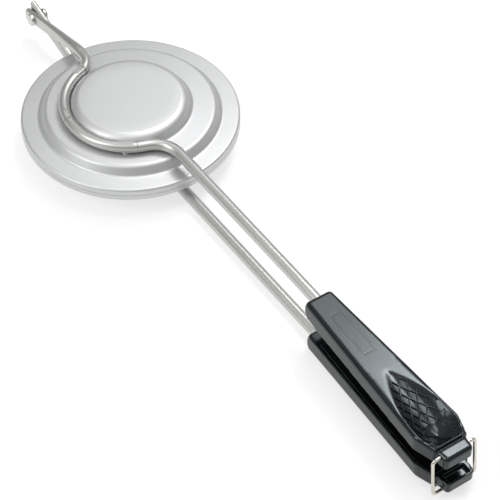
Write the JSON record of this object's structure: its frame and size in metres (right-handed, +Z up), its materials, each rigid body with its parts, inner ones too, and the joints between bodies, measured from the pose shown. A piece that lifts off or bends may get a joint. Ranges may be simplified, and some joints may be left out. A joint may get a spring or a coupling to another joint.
{
  "type": "sandwich iron",
  "caption": "Round hinged sandwich iron: two stepped steel pans on bent rods with moulded handles and a wire bail that holds the handles together.",
  "frame": {"origin": "middle of the lower pan's flat dome, the face it lies on", "axes": "+X from the pans' axis towards the handle tips, +Z up from the lower pan to the upper one, +Y by the right-hand rule"},
  "size_m": [0.4475, 0.135, 0.0364],
  "materials": {
    "pan_steel": "satin",
    "rod_steel": "satin",
    "weld_steel": "matte",
    "bail_wire": "gloss",
    "handle_plastic": "gloss"
  },
  "bodies": {
    "lower_half": {"lower_pan": "pan_steel", "lower_rod": "rod_steel", "lower_rod_welds": "weld_steel", "lower_handle": "handle_plastic", "hinge_rivet": "rod_steel"},
    "upper_half": {"upper_pan": "pan_steel", "upper_rod": "rod_steel", "upper_rod_welds": "weld_steel", "upper_handle": "handle_plastic"},
    "bail": {"wire_bail": "bail_wire"}
  },
  "joints": [
    {"name": "hinge", "type": "hinge", "parent": "lower_half", "child": "upper_half", "pos_m": [-0.113, 0, 0.0175], "axis": [0, -1, 0], "range_deg": [0, 180]},
    {"name": "bail_pivot", "type": "hinge", "parent": "upper_half", "child": "bail", "pos_m": [0.3175, 0, 0.0283], "axis": [0, -1, 0], "range_deg": [0, 222]}
  ]
}
